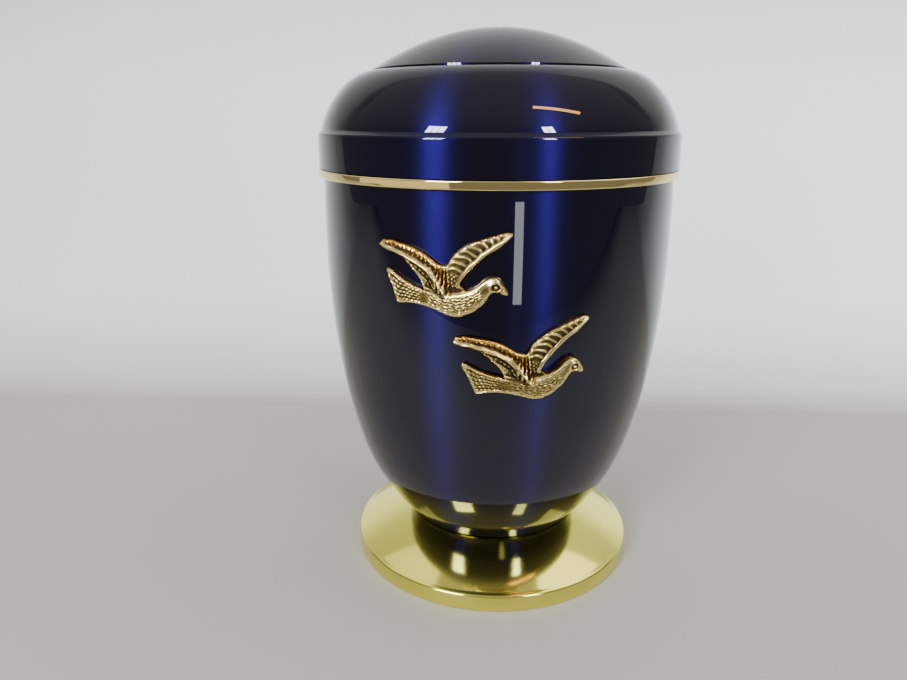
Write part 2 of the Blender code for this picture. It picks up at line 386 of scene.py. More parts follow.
@dataclass(frozen=True)
class LacquerFinish:
    """Clear dark blue lacquer over metal brushed on the lathe, so lights draw out into upright streaks."""

    name: str = "blue_lacquer"
    deep: Colour = (0.0032, 0.0014, 0.029)
    edge_tint: Colour = (0.08, 0.10, 0.35)
    roughness: float = 0.37
    spread: float = 0.14
    depth: float = 0.25
    fineness: float = 5200.0
    anisotropic: float = 0.97
    coat_roughness: float = 0.012
    coat_ior: float = 1.5
    cloud_scale: float = 9.0
    cloud_tone: float = 0.12

    def build(self, marks: bpy.types.NodeTree) -> bpy.types.Material:
        """Builds the material.

        Args:
            marks: The turning marks.

        Returns:
            The material.
        """
        made = MaterialNodes(self.name)
        rings = made.marked(marks, Fineness=self.fineness, Depth=self.depth,
                            Roughness=self.roughness, Spread=self.spread)
        cloud = made.noise(self.cloud_scale)
        tones = ((0.3, scaled(self.deep, 1 - self.cloud_tone)), (0.7, scaled(self.deep, 1 + self.cloud_tone)))
        made.fill(made.shader, {
            "Metallic": 1.0, "Specular Tint": (*self.edge_tint, 1.0), "Anisotropic": self.anisotropic,
            "Coat Weight": 1.0, "Coat Roughness": self.coat_roughness, "Coat IOR": self.coat_ior,
            "Base Color": made.ramp(cloud, tones), **rings,
            "Tangent": made.add("ShaderNodeCombineXYZ", {"Z": 1.0}).outputs[0],
        })
        return made.material


@dataclass(frozen=True)
class PolishedFinish:
    """Bare polished metal with the finest turning marks."""

    name: str
    colour: Colour
    roughness: float
    spread: float = 0.03
    depth: float = 0.02
    fineness: float = 3500.0
    cloud_scale: float = 14.0
    cloud_tone: float = 0.05

    def build(self, marks: bpy.types.NodeTree) -> bpy.types.Material:
        """Builds the material.

        Args:
            marks: The turning marks.

        Returns:
            The material.
        """
        made = MaterialNodes(self.name)
        rings = made.marked(marks, Fineness=self.fineness, Depth=self.depth,
                            Roughness=self.roughness, Spread=self.spread)
        tones = ((0.0, scaled(self.colour, 1 - self.cloud_tone)), (1.0, self.colour))
        made.fill(made.shader, {
            "Metallic": 1.0, "Base Color": made.ramp(made.noise(self.cloud_scale), tones), **rings,
        })
        return made.material


@dataclass(frozen=True)
class AntiqueBrassFinish:
    """Cast brass, darkened and rubbed back: brown in the recesses and bright on what stands out, with painted
    highlights and painted shade from the casting's patina attribute.
    """

    name: str = "antique_brass"
    recess: Colour = (0.022, 0.011, 0.004)
    middle: Colour = (0.205, 0.140, 0.034)
    rubbed_and_highlit: Colour = (0.96, 0.78, 0.31)
    tarnished: Colour = (0.92, 0.58, 0.25)
    mottling: float = 0.35
    stain_scale: float = 260.0
    pore_scale: float = 2200.0
    dull: float = 0.50
    bright: float = 0.22
    pore_depth: float = 0.06 * MM

    def build(self) -> bpy.types.Material:
        """Builds the material, which reads the casting's own patina attribute, with its painted highlights
        and painted shade, and its tarnish attribute.

        Returns:
            The material.
        """
        made = MaterialNodes(self.name)
        patina_and_painted_light, tarnish = (made.add("ShaderNodeAttribute", attribute_name=name).outputs["Fac"]
                           for name in ("patina_and_painted_light", "tarnish"))
        lowered = made.calculate("SUBTRACT", patina_and_painted_light, self.mottling / 2)
        mottled = made.calculate("MULTIPLY_ADD", made.noise(self.stain_scale, 5.0), self.mottling, lowered)
        # The ramp runs from the patina's dark recesses to its top colour, which stands for rubbed brass and
        # painted highlights alike.
        colour = made.ramp(mottled, ((0.12, self.recess), (0.50, self.middle), (0.95, self.rubbed_and_highlit)))
        warmed = made.add("ShaderNodeMix", {"Factor": tarnish, "A": colour, "B": (*self.tarnished, 1.0)},
                          data_type="RGBA", blend_type="MULTIPLY")
        pores = made.noise(self.pore_scale, 3.0)
        grain = made.add("ShaderNodeBump", {"Strength": 0.35, "Distance": self.pore_depth, "Height": pores})
        made.fill(made.shader, {
            "Base Color": warmed.outputs["Result"],
            "Roughness": made.mapped(mottled, (0.1, 0.85), (self.dull, self.bright)),
            "Metallic": made.mapped(mottled, (0.1, 0.4), (0.7, 1.0)),
            "Normal": grain.outputs[0],
        })
        return made.material


@dataclass
class Base:
    """The gold base: an upright rim, a rounded edge and a flare that rises to the body's seat. In metres."""

    rim_height: float = 9.6 * MM
    seat_radius: float = 47.6 * MM
    edge_round: float = 1.8 * MM
    foot_chamfer: float = 0.8 * MM
    edge_start: float = 62
    bulge: float = 0.07
    flare_rows: int = 32
    steps: int = 256
    crease: float = 38

    def profile(self) -> list[Point]:
        """The outline from the top of the axis down to the middle of the underside.

        Returns:
            The points as radius and height.
        """
        low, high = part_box("base")
        radius = high[0]
        edge = radius - self.edge_round
        flare = []
        for share in np.linspace(0, 1, self.flare_rows + 1):
            down = share - 4 * self.bulge * share * (1 - share)
            flare.append((self.seat_radius + (edge - self.seat_radius) * share,
                          high[2] - (high[2] - self.rim_height) * down))
        rim = arc((edge, self.rim_height - self.edge_round), self.edge_round, self.edge_start, 0, 9)
        chamfer = self.foot_chamfer
        foot = arc((radius - chamfer, chamfer), chamfer, 0, -90, 6)
        inwards = [(radius * share, low[2]) for share in (0.9, 0.6, 0.3, 0.0)]
        return [(0.0, high[2])] + flare + rim[1:] + foot + inwards

    def build(self, gold: bpy.types.Material) -> bpy.types.Object:
        """Turns the base and dresses it.

        Args:
            gold: Its finish.

        Returns:
            The piece.
        """
        piece = turn_piece("gold_base", self.profile(), self.steps)
        piece.data.materials.append(gold)
        shade(piece, self.crease)
        hand_over(piece, "base")
        return piece


@dataclass
class Body:
    """The lacquered body: a shell with a rounded lower edge, a swelling side and a neck. In metres."""

    wall: float = 1.2 * MM
    floor_radius: float = 48.4 * MM
    floor_round: float = 1.5 * MM
    mouth_radius: float = 92.0 * MM
    bulge: float = 0.3 * MM
    widest_depth: float = 29.0 * MM
    neck_height: float = 13.0 * MM
    ledge_width: float = 1.1 * MM
    steps: int = 256
    crease: float = 35
    rows: int = 110
    swell: Line = (
        (0.0, 0.0), (0.09, 0.27), (0.22, 0.555), (0.41, 0.772), (0.60, 0.901), (0.80, 0.980), (1.0, 1.0),
    )

    def __post_init__(self) -> None:
        """Reads the body's place from its part in model.glb."""
        low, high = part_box("body")
        self.bottom: float = low[2]
        self.mouth: float = high[2] - self.neck_height
        self.widest: float = self.mouth - self.widest_depth
        self.side_start: float = self.bottom + self.floor_round / 2

    def swelling(self, share: np.ndarray) -> np.ndarray:
        """How far the side has swelled, from 0 at the floor to 1 at the widest place.

        Args:
            share: The shares of the height.

        Returns:
            The swelling at each.
        """
        at = np.array([station[0] for station in self.swell])
        value = np.array([station[1] for station in self.swell])
        slope = np.empty(len(at))
        slope[1:-1] = (value[2:] - value[:-2]) / (at[2:] - at[:-2])
        slope[0] = (value[1] - value[0]) / (at[1] - at[0])
        slope[-1] = 0.0
        place = np.clip(np.searchsorted(at, share) - 1, 0, len(at) - 2)
        width = at[place + 1] - at[place]
        t = np.clip((share - at[place]) / width, 0, 1)
        return ((2 * t**3 - 3 * t**2 + 1) * value[place] + (t**3 - 2 * t**2 + t) * slope[place] * width
                + (3 * t**2 - 2 * t**3) * value[place + 1] + (t**3 - t**2) * slope[place + 1] * width)

    def radius(self, height: np.ndarray | float) -> np.ndarray:
        """The outer radius at heights over the ground.

        Args:
            height: The heights in metres.

        Returns:
            The radii in metres.
        """
        height = np.asarray(height, float)
        side = self.floor_radius + self.floor_round
        widest = self.mouth_radius + self.bulge
        share = (height - self.side_start) / (self.widest - self.side_start)
        below = side + (widest - side) * self.swelling(share)
        share = np.clip((height - self.widest) / self.widest_depth, 0, 1)
        return np.where(height <= self.widest, below, widest - self.bulge * share**2)

    def profile(self) -> list[Point]:
        """The outer skin from the neck's top down to the middle of the floor.

        Returns:
            The points as radius and height.
        """
        neck = self.mouth_radius - self.ledge_width
        points = [(neck, self.mouth + self.neck_height), (neck, self.mouth), (self.mouth_radius, self.mouth)]
        for share in np.linspace(1, 0, self.rows)[1:]:
            height = self.side_start + (self.mouth - self.side_start) * share**1.2
            points.append((float(self.radius(height)), float(height)))
        lip = self.floor_radius + self.floor_round * 0.35
        return points + [(lip, self.bottom + self.floor_round * 0.08), (self.floor_radius, self.bottom),
                         (self.floor_radius / 2, self.bottom), (0.0, self.bottom)]

    def build(self, lacquer: bpy.types.Material, bare: bpy.types.Material) -> bpy.types.Object:
        """Turns the body and dresses it.

        Args:
            lacquer: The outer finish.
            bare: The finish of the inside.

        Returns:
            The piece.
        """
        piece = turn_piece("lacquered_body", self.profile(), self.steps)
        piece.data.materials.append(lacquer)
        piece.data.materials.append(bare)
        give_wall(piece, self.wall)
        shade(piece, self.crease)
        hand_over(piece, "body")
        return piece


@dataclass
class TrimBand:
    """The polished brass band round the neck. In metres."""

    neck_radius: float = 90.9 * MM
    gap: float = 0.3 * MM
    edge_round: float = 0.7 * MM
    steps: int = 256
    crease: float = 40

    def build(self, brass: bpy.types.Material) -> bpy.types.Object:
        """Turns the band and dresses it.

        Args:
            brass: Its finish.

        Returns:
            The piece.
        """
        low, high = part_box("trim_band")
        inner, outer, corner = self.neck_radius + self.gap, high[0], self.edge_round
        upper = arc((outer - corner, high[2] - corner), corner, 90, 0, 6)
        lower = arc((outer - corner, low[2] + corner), corner, 0, -90, 6)
        section = [(inner, high[2]), *upper, *lower, (inner, low[2])]
        piece = turn_piece("brass_trim_band", section, self.steps, closed=True)
        piece.data.materials.append(brass)
        shade(piece, self.crease)
        hand_over(piece, "trim_band")
        return piece


@dataclass
class Lid:
    """The lacquered lid: a skirt, a shoulder and a dome, each set back by a small rounded step. In metres."""

    wall: float = 1.2 * MM
    skirt_height: float = 17.8 * MM
    skirt_round: float = 1.5 * MM
    step_rise: float = 1.2 * MM
    step_inset: float = 2.1 * MM
    shoulder_rise: float = 28.0 * MM
    side_power: float = 1.9
    top_power: float = 1.35
    dome_step: float = 0.8 * MM
    dome_radius: float = 65.5 * MM
    dome_rows: int = 33
    shoulder_rows: int = 43
    skirt_start: float = 68
    steps: int = 256
    crease: float = 35

    def profile(self) -> list[Point]:
        """The outer skin from the dome's top down to the skirt's lower edge.

        Returns:
            The points as radius and height.
        """
        low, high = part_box("lid")
        radius = high[0]
        skirt_top = low[2] + self.skirt_height
        shoulder_start = skirt_top + self.step_rise
        shoulder_radius = radius - self.step_inset
        dome_start = shoulder_start + self.shoulder_rise + self.dome_step
        points = []
        for share in np.linspace(0, 1, self.dome_rows + 1):
            points.append((self.dome_radius * share, dome_start + (high[2] - dome_start) * (1 - share**2)))
        for share in np.linspace(0, 1, self.shoulder_rows + 1):
            angle = math.radians(90 * (1 - share))
            out = max(math.cos(angle), 0.0) ** (2 / self.side_power)
            rise = math.sin(angle) ** (2 / self.top_power)
            points.append((self.dome_radius + (shoulder_radius - self.dome_radius) * out,
                           shoulder_start + self.shoulder_rise * rise))
        corner = (radius - self.skirt_round, skirt_top - self.skirt_round)
        points += arc(corner, self.skirt_round, self.skirt_start, 0, 7)
        points += [(radius, low[2] + share * self.skirt_height) for share in (0.7, 0.5, 0.3, 0.12, 0.0)]
        return points

    def build(self, lacquer: bpy.types.Material, bare: bpy.types.Material) -> bpy.types.Object:
        """Turns the lid and dresses it.

        Args:
            lacquer: The outer finish.
            bare: The finish of the inside.

        Returns:
            The piece.
        """
        piece = turn_piece("lacquered_lid", self.profile(), self.steps)
        piece.data.materials.append(lacquer)
        piece.data.materials.append(bare)
        give_wall(piece, self.wall)
        shade(piece, self.crease)
        hand_over(piece, "lid")
        return piece


def nearest(points: np.ndarray, line: np.ndarray, closed: bool = False) -> tuple[np.ndarray, ...]:
    """Finds the nearest place on a line for each of many points.

    Args:
        points: The points, one row each.
        line: The line's points, one row each.
        closed: Whether the line runs back to its start.

    Returns:
        The distance, the length along the line, the side (1 on its left, -1 on its right) and the place.
    """
    ends = np.roll(line, -1, axis=0) if closed else line[1:]
    starts = line if closed else line[:-1]
    along = ends - starts
    length = np.hypot(along[:, 0], along[:, 1])
    before = np.concatenate([[0.0], np.cumsum(length)[:-1]])
    best = np.full(len(points), np.inf)
    run, side, place = np.zeros(len(points)), np.ones(len(points)), np.zeros_like(points)
    for start, way, size, done in zip(starts, along, length, before):
        offset = points - start
        share = np.clip(offset @ way / size**2, 0, 1)
        foot = start + share[:, None] * way
        distance = np.hypot(*(points - foot).T)
        closer = distance < best
        best[closer] = distance[closer]
        run[closer] = done + share[closer] * size
        side[closer] = np.where(way[0] * offset[closer, 1] - way[1] * offset[closer, 0] >= 0, 1, -1)
        place[closer] = foot[closer]
    return best, run, side, place


def inside(points: np.ndarray, outline: np.ndarray) -> np.ndarray:
    """Tells which points lie inside a closed outline.

    Args:
        points: The points, one row each.
        outline: The outline's points, one row each.

    Returns:
        True where a point is inside.
    """
    held = np.zeros(len(points), bool)
    for start, end in zip(outline, np.roll(outline, -1, axis=0)):
        crosses = (start[1] > points[:, 1]) != (end[1] > points[:, 1])
        rise = end[1] - start[1]
        at = start[0] + (points[:, 1] - start[1]) * (end[0] - start[0]) / (rise if rise else 1e-9)
        held ^= crosses & (points[:, 0] < at)
    return held


def depth_in(points: np.ndarray, outline: np.ndarray) -> np.ndarray:
    """How far inside an outline points lie, below nought outside it."""
    distance = nearest(points, outline, closed=True)[0]
    return np.where(inside(points, outline), distance, -distance)


def step(low: float, high: float, value: np.ndarray) -> np.ndarray:
    """A smooth rise from 0 at a low value to 1 at a high one."""
    share = np.clip((value - low) / (high - low), 0, 1)
    return share * share * (3 - 2 * share)


def crown(depth: np.ndarray, reach: float) -> np.ndarray:
    """A round rise from 0 at an edge to 1 at a reach inside it."""
    share = np.clip(depth / reach, 0, 1)
    return np.sqrt(np.maximum(1 - (1 - share) ** 2, 0))


def ridge(distance: np.ndarray, width: float | np.ndarray, power: float = 2) -> np.ndarray:
    """A rounded ridge, 1 at no distance and falling off over a width."""
    return np.exp(-(np.abs(distance / width) ** power))


def blend_high(first: np.ndarray, second: np.ndarray, soft: float) -> np.ndarray:
    """The higher of two surfaces, with the crease between them filled over a soft width."""
    share = np.clip(0.5 + 0.5 * (first - second) / soft, 0, 1)
    return second + (first - second) * share + soft * share * (1 - share)


@dataclass
class DoveCasting:
    """The cast dove's relief, flat and in millimetres, seen from the front with its breast to the right."""

    outline: Line = (
        (-33.6, 12.0), (-33.0, 13.2), (-31.9, 14.2), (-26.8, 14.3), (-21.6, 13.2), (-16.6, 12.0),
        (-11.9, 10.1), (-8.2, 7.8), (-5.0, 5.6), (-1.6, 4.7), (-0.3, 5.4), (1.3, 8.3), (4.8, 11.7),
        (8.3, 14.0), (12.5, 15.9), (20.7, 18.6), (24.6, 19.7), (27.1, 19.5), (27.7, 19.0), (27.5, 17.7),
        (25.2, 15.4), (21.7, 12.3), (17.2, 9.5), (13.0, 5.7), (10.0, 2.6), (8.0, 0.0), (6.4, -2.0),
        (5.8, -3.9), (8.1, -5.3), (10.7, -4.4), (13.2, -2.9), (15.5, -0.8), (17.5, 0.5), (19.5, 1.0),
        (21.7, 0.4), (23.4, -1.3), (25.1, -3.9), (26.4, -6.7), (25.7, -8.2), (24.8, -8.1), (23.1, -7.5),
        (20.9, -6.7), (19.6, -6.9), (18.4, -8.2), (16.6, -11.3), (13.8, -14.1), (10.4, -16.4), (6.2, -18.3),
        (4.0, -18.6), (0.4, -18.0), (-3.7, -16.5), (-8.4, -15.0), (-12.2, -14.3), (-17.2, -13.9),
        (-23.9, -14.6), (-25.0, -14.0), (-26.4, -10.1), (-27.9, -6.0), (-29.4, -3.1), (-30.5, 0.1),
        (-29.9, 1.2), (-28.3, 1.1), (-26.1, -0.2), (-21.9, -2.6), (-17.0, -4.6), (-13.0, -5.8),
        (-11.6, -6.5), (-11.9, -5.0), (-13.1, -2.3), (-17.6, 2.9), (-20.1, 5.6), (-23.2, 7.3), (-27.0, 8.4),
        (-30.3, 9.2), (-32.6, 10.3),
    )
    spine: Line = (
        (-21.1, -9.4), (-14.0, -9.6), (-7.3, -10.8), (-1.3, -12.0), (4.5, -12.2), (9.8, -10.6),
        (14.1, -7.4), (17.5, -4.3), (20.6, -3.1),
    )
    spine_width: tuple[float, ...] = (3.4, 4.2, 5.0, 6.0, 6.6, 6.4, 5.3, 4.4, 4.1)
    spine_crest: tuple[float, ...] = (0.1, 0.6, 1.9, 2.9, 3.4, 3.5, 3.3, 3.1, 3.0)
    tail_upper: Line = (
        (-31.6, 2.2), (-28.3, 1.1), (-21.9, -2.6), (-17.0, -4.6), (-11.6, -6.4), (-6.0, -7.9), (0.0, -9.4),
    )
    tail_lower: Line = (
        (-26.6, -14.2), (-23.9, -14.5), (-17.2, -13.9), (-8.4, -15.0), (-3.7, -16.5), (0.4, -18.0),
    )
    left_wing: Line = (
        (-33.7, 12.0), (-33.1, 13.3), (-31.9, 14.4), (-26.8, 14.5), (-16.6, 12.2), (-11.9, 10.3),
        (-5.0, 5.8), (-1.0, 3.0), (1.6, -4.0), (2.6, -9.6), (-1.2, -10.4), (-6.0, -8.4), (-11.7, -6.5),
        (-12.0, -5.0), (-13.2, -2.4), (-17.7, 2.8), (-20.2, 5.5), (-23.3, 7.2), (-30.4, 9.1), (-32.7, 10.2),
    )
    right_wing: Line = (
        (27.9, 19.1), (27.1, 19.7), (24.6, 19.9), (12.5, 16.1), (8.3, 14.2), (4.8, 11.9), (1.2, 8.5),
        (-0.5, 5.6), (-1.9, 2.6), (-1.4, -3.4), (0.4, -7.2), (4.2, -6.6), (6.0, -4.0), (6.6, -2.1),
        (10.2, 2.5), (13.2, 5.6), (17.4, 9.4), (27.6, 17.6),
    )
    wing_ridge: Line = (
        (-33.4, 11.8), (-29.1, 10.7), (-24.3, 9.5), (-18.6, 7.5), (-13.7, 5.3), (-9.9, 3.0), (-6.9, 0.1),
        (-4.6, -3.5), (-2.2, -7.2), (0.1, -9.7),
    )
    wing_rim: Line = (
        (4.5, -4.1), (5.6, -1.3), (7.1, 1.2), (9.7, 4.4), (12.7, 7.3), (16.8, 11.0), (21.4, 13.9),
        (25.1, 16.5), (28.0, 18.6),
    )
    neck_line: Line = (
        (0.6, -9.7), (3.6, -8.3), (8.0, -7.1), (11.5, -5.6), (14.0, -3.5), (16.6, -1.1), (19.1, -0.2),
        (21.7, -1.0),
    )
    eye: Point = (20.8, -3.9)
    nostril: Point = (23.8, -5.1)
    beak: Line = ((22.2, -3.6), (23.9, -4.9), (25.2, -6.3), (25.9, -7.5))
    eye_radius: float = 1.35
    skull: Point = (20.0, -3.0)
    skull_radius: float = 4.3
    tail_rows: int = 7
    brick_length: float = 2.05
    feather_row: float = 1.3
    feather_length: float = 2.5
    rib_pitch: float = 2.95
    barb_pitch: float = 1.0
    scale_width: float = 1.55
    scale_height: float = 1.45
    face_rib_pitch: float = 2.3
    band_row: float = 1.9
    band_feather: float = 2.6
    fold_source: Point = (-1.4, 20.0)
    fold_pitch: float = 4.6
    back: float = 0.5
    edge: float = 1.25
    pitch: float = 0.2
    patina_reach: int = 6

    def tail_height(self, points: np.ndarray) -> np.ndarray:
        """The tail fan: rows of short bricks between bright upper, end and lower rims.

        Args:
            points: The places.

        Returns:
            The height at each.
        """
        upper = nearest(points, smooth_curve(self.tail_upper, 6))[0]
        lower = nearest(points, smooth_curve(self.tail_lower, 6))[0]
        depth = depth_in(points, smooth_curve(self.outline, 4, closed=True))
        rows = self.tail_rows * upper / np.maximum(upper + lower, 0.1) - 0.15
        row = np.floor(rows)
        bricks = points[:, 0] / self.brick_length + 0.5 * np.mod(row, 2) + 0.13 * row
        bricks += 0.10 * np.sin(0.8 * points[:, 0] + row)
        line = np.sin(math.pi * (rows - row)) ** 0.7
        notch = np.sin(math.pi * (bricks - np.floor(bricks))) ** 0.55
        fade = 1 - step(-9.0, -1.0, points[:, 0])
        height = self.edge + 0.35 + 0.5 * step(-30.0, -12.0, points[:, 0])
        height += fade * step(0.7, 1.4, depth) * (0.62 * line * (0.45 + 0.55 * notch) - 0.36)
        end = nearest(points, smooth_curve([(-30.4, 0.6), (-27.9, -6.0), (-25.4, -13.9)], 6))[0]
        rims = ridge(upper - 0.9, 0.55) + ridge(lower - 0.95, 0.6) + ridge(end - 0.6, 0.5)
        return height + fade * 0.45 * np.minimum(rims, 1.0)

    def body_height(self, points: np.ndarray) -> np.ndarray:
        """The breast, neck and head: a round form along the spine, with wavy rows of fine body feathers.

        Args:
            points: The places.

        Returns:
            The height at each.
        """
        line = smooth_curve(self.spine, 8)
        distance, run, side, _ = nearest(points, line)
        stations = np.concatenate([[0], np.cumsum(np.hypot(*np.diff(line, axis=0).T))])
        marks = np.linspace(0, stations[-1], len(self.spine_width))
        width, crest = np.interp(run, marks, self.spine_width), np.interp(run, marks, self.spine_crest)
        share = np.clip(distance / width, 0, 1.15)
        height = 1.0 + crest * np.sqrt(1 - np.minimum(share, 1.0) ** 2.2) - 9 * np.maximum(share - 1, 0)
        above = side * distance
        total = stations[-1]
        feathered = step(8.0, 16.0, run) * (1 - step(total - 8.5, total - 5.0, run))
        feathered *= 1 - step(1.8, 3.6, above)
        wave = 0.20 * np.sin(run * 1.05 + above * 0.7) + 0.12 * np.sin(run * 2.3 - above * 1.4)
        rows = above / self.feather_row + 0.09 * run + wave
        row = np.floor(rows + 0.5)
        dashes = run / self.feather_length + 0.5 * np.mod(row, 2) + 0.31 * np.sin(row * 2.3) + 0.15 * above
        fine = np.cos(math.tau * rows) * (0.62 + 0.38 * np.cos(math.tau * dashes))
        height += feathered * 0.19 * fine
        back = nearest(points, smooth_curve(self.neck_line, 6))[0]
        return height + 0.30 * ridge(back, 1.1)

    def head_height(self, points: np.ndarray, height: np.ndarray) -> np.ndarray:
        """The head over the body: a round skull, a short beak, an eye in its dark socket and a nostril.

        Args:
            points: The places.
            height: The height so far.

        Returns:
            The height with the head.
        """
        skull = np.hypot(*(points - self.skull).T) / self.skull_radius
        dome = 1.1 + 3.0 * np.sqrt(np.maximum(1 - skull**2, 0))
        height = blend_high(height, np.where(skull < 1, dome, 0.2), 0.8)
        distance, run, _, _ = nearest(points, smooth_curve(self.beak, 8))
        width = np.interp(run, [0, 2.2, 3.9, 5.3], [2.9, 2.2, 1.5, 1.0])
        share = distance / width
        rise = np.interp(run, [0, 5.3], [2.3, 1.1]) * np.sqrt(np.maximum(1 - share**2, 0))
        height = blend_high(height, np.where(share < 1, 1.1 + rise, 0.2), 0.5)
        from_eye = np.hypot(points[:, 0] - self.eye[0], (points[:, 1] - self.eye[1]) * 1.15)
        height += 0.16 * ridge(from_eye - 2.5, 0.45) - ridge(from_eye - self.eye_radius, 0.55)
        height += 0.15 * ridge(from_eye, 0.7, 4)
        return height - 0.55 * ridge(np.hypot(*(points - self.nostril).T), 0.55)

    def right_wing_height(self, points: np.ndarray) -> np.ndarray:
        """The raised right wing: a thick smooth rim on its lower side and bowed ribs from it to the far edge.

        Args:
            points: The places.

        Returns:
            The height at each, low outside the wing.
        """
        depth = depth_in(points, smooth_curve(self.right_wing, 4, closed=True))
        away, run, _, _ = nearest(points, smooth_curve(self.wing_rim, 8))
        height = self.edge + 0.35 + 0.35 * crown(depth, 1.2)
        height += 0.85 * ridge(away, 1.15, 2.6)
        phase = (run - 0.34 * away + 0.088 * away**2) / self.rib_pitch
        rib = 0.5 + 0.5 * np.cos(math.tau * phase)
        clear = step(1.0, 1.9, away) * step(-0.1, 0.8, depth)
        lower = points[:, 1] + 0.35 * points[:, 0]
        ribbed = clear * step(0.5, 4.0, lower)
        height += ribbed * (1.0 * rib**1.1 - 0.42)
        barbs = np.cos(math.tau * (away / self.barb_pitch + 0.5 * np.floor(phase)))
        height += ribbed * 0.09 * barbs * (1 - rib)
        across = (points[:, 0] * 0.80 + points[:, 1] * 0.60) / self.scale_width
        along = (points[:, 1] * 0.80 - points[:, 0] * 0.60) / self.scale_height
        line = np.floor(along)
        cells = across + 0.5 * np.mod(line, 2) + 0.2 * np.sin(1.7 * line)
        scales = np.sin(math.pi * (cells - np.floor(cells))) ** 0.8 * np.sin(math.pi * (along - line)) ** 0.6
        root = clear * (1 - step(0.5, 4.0, lower)) * step(-9.0, -6.0, points[:, 1])
        height += root * (0.80 * scales - 0.38)
        return np.where(depth > 0, height, self.edge - 6 * -depth)

    def left_wing_height(self, points: np.ndarray) -> np.ndarray:
        """The swept left wing: a bright ridge, a ribbed face above it and a lower band of round feathers.

        Args:
            points: The places.

        Returns:
            The height at each, low outside the wing.
        """
        depth = depth_in(points, smooth_curve(self.left_wing, 4, closed=True))
        away, run, side, _ = nearest(points, smooth_curve(self.wing_ridge, 8))
        above, below = np.where(side > 0, away, 0), np.where(side < 0, away, 0)
        crest = np.interp(run, [0, 10, 24, 34, 44], [1.1, 1.15, 1.35, 2.2, 2.5])
        top = np.interp(run, [0, 8, 24, 34, 44], [0.9, 1.35, 1.75, 2.2, 2.7])
        height = self.edge + 0.30 * crown(depth, 0.8) + top * ridge(away, crest, 2.2)
        height += np.where(side > 0, 0.75 * step(8.5, 0.0, above) * step(0.0, 1.2, depth), 0)
        swing = 0.35 * np.sin(0.9 * run) + 0.2 * np.sin(2.3 * above + 0.4 * run)
        feather = run / self.face_rib_pitch
        ribs = 0.5 + 0.5 * np.cos(math.tau * (feather + 0.22 * above) + swing)
        upper = step(1.1, 2.1, above) * step(0.1, 1.0, depth)
        strong = 0.35 + 0.65 * step(12.0, 28.0, run)
        height += upper * strong * (0.50 * ribs - 0.22)
        cross = np.cos(math.tau * (above / 1.7 + 0.5 * np.floor(feather)) + swing)
        height += upper * 0.20 * cross * np.cos(math.tau * run / 3.1 + 1.5 * swing)
        rows = below / self.band_row
        row = np.floor(rows)
        cells = run / self.band_feather + 0.5 * np.mod(row, 2)
        rounded = np.sqrt(np.maximum(1 - (2 * (cells - np.floor(cells)) - 1) ** 2, 0))
        band = step(1.2, 2.2, below) * step(0.0, 0.6, depth)
        band *= step(6.0, 10.0, run) * (1 - step(40.0, 44.0, run))
        height += band * (0.35 + 0.95 * rounded * (1 - 0.8 * (rows - row)) - 0.30)
        return np.where(depth > 0, height, self.edge - 6 * -depth)

    def fold_height(self, points: np.ndarray) -> np.ndarray:
        """The upright folds where the wings spring from the back, in a small fan.

        Args:
            points: The places.

        Returns:
            What the folds add to the height.
        """
        offset = points - self.fold_source
        angle = np.degrees(np.arctan2(offset[:, 0], -offset[:, 1]))
        reach = np.hypot(*offset.T)
        near = ridge(angle + 1.0, 8.5, 4) * step(14.0, 16.5, reach) * (1 - step(27.0, 30.0, reach))
        return near * (0.50 * np.cos(math.tau * angle / self.fold_pitch) + 0.15)

    def height(self, points: np.ndarray) -> np.ndarray:
        """The whole relief.

        Args:
            points: The places.

        Returns:
            The height over the casting's back at each.
        """
        wobble = 0.14 * np.column_stack([np.sin(1.3 * points[:, 1] + 0.7), np.sin(1.1 * points[:, 0] + 1.9)])
        bent = points + wobble
        height = blend_high(self.tail_height(bent), self.body_height(bent), 0.7)
        wings = blend_high(self.left_wing_height(bent), self.right_wing_height(bent), 0.25)
        wings += self.fold_height(points)
        height = blend_high(height, wings, 0.35)
        height = self.head_height(points, height)
        depth = depth_in(points, smooth_curve(self.outline, 4, closed=True))
        height = np.maximum(height, self.edge)
        return np.minimum(height, 0.35 + (height - 0.35) * crown(depth + 0.06, 1.1))

    def rubbing_and_painted_light(self, points: np.ndarray) -> np.ndarray:
        """Brightens the back line, the right wing's rim and the left wing's ridge, partly real rubbing and
        partly painted highlight, and darkens the left wing's lower band and the tip end of its upper face
        with painted shade, apart from the fine relief.

        Args:
            points: The places.

        Returns:
            What is added to the patina, from -0.3 to 0.45.
        """
        back = nearest(points, smooth_curve(self.neck_line, 6))[0]
        off, along, side, _ = nearest(points, smooth_curve(self.wing_ridge, 6))
        rim = nearest(points, smooth_curve(self.wing_rim, 6))[0]
        inside_wing = depth_in(points, smooth_curve(self.left_wing, 4, closed=True)) > 0
        # Painted highlights, partly real rubbing: bright bands along the back line, the right wing's rim and
        # the left wing's ridge.
        bright = 0.42 * ridge(back, 1.3) + 0.34 * ridge(rim, 1.0)
        bright += 0.42 * ridge(off, 1.0) * (1 - 0.7 * step(26.0, 34.0, along))
        # Painted shade: the left wing's lower band and the tip end of its upper face are darkened.
        shaded = inside_wing & (side < 0) & (along < 42) & (off > 1.2)
        return bright - 0.06 * shaded - 0.16 * (inside_wing & (side > 0) & (along < 12) & (off > 1.2))

    def tarnish(self, points: np.ndarray) -> np.ndarray:
        """How orange brown the metal is: most on the left wing's upper face, and some along the outer edge.

        Args:
            points: The places.

        Returns:
            The tarnish at each, from 0 to 1.
        """
        off, _, side, _ = nearest(points, smooth_curve(self.wing_ridge, 6))
        wing = depth_in(points, smooth_curve(self.left_wing, 4, closed=True))
        face = step(0.9, 2.2, off) * (side > 0) * step(-0.2, 0.5, wing)
        lower_edge = step(1.4, 0.2, depth_in(points, smooth_curve(self.outline, 4, closed=True)))
        return np.clip(0.85 * face + 0.5 * lower_edge, 0, 1)

